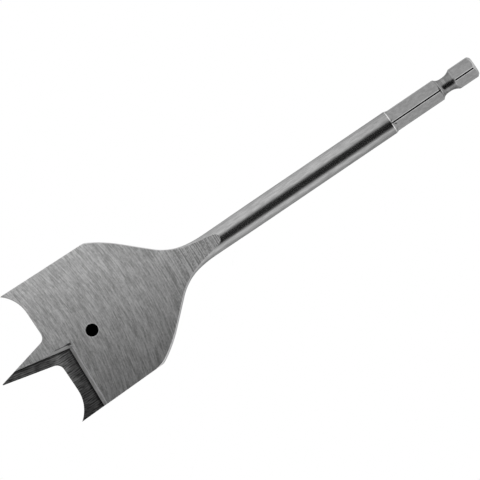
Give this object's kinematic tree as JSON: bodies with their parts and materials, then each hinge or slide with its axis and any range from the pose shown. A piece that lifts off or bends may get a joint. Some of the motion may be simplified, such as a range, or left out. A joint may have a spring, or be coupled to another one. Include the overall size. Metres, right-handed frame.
{
  "type": "spade drill bit",
  "caption": "Flat spade drill bit for wood, with a long point, outer spurs and a hole in the blade, on a round shank that ends in a grooved hexagonal drive.",
  "frame": {"origin": "centre of the hexagonal drive's end face, on the bit's axis", "axes": "+X along the axis from the point to the drive end, +Z out of the blade's upper face, the one whose -Y half leads"},
  "size_m": [0.16, 0.0424, 0.007],
  "materials": {
    "ground_steel": "ground across the blade, with a smooth drawn shank"
  },
  "bodies": {
    "root": {"spade_bit": "ground_steel"}
  },
  "joints": []
}
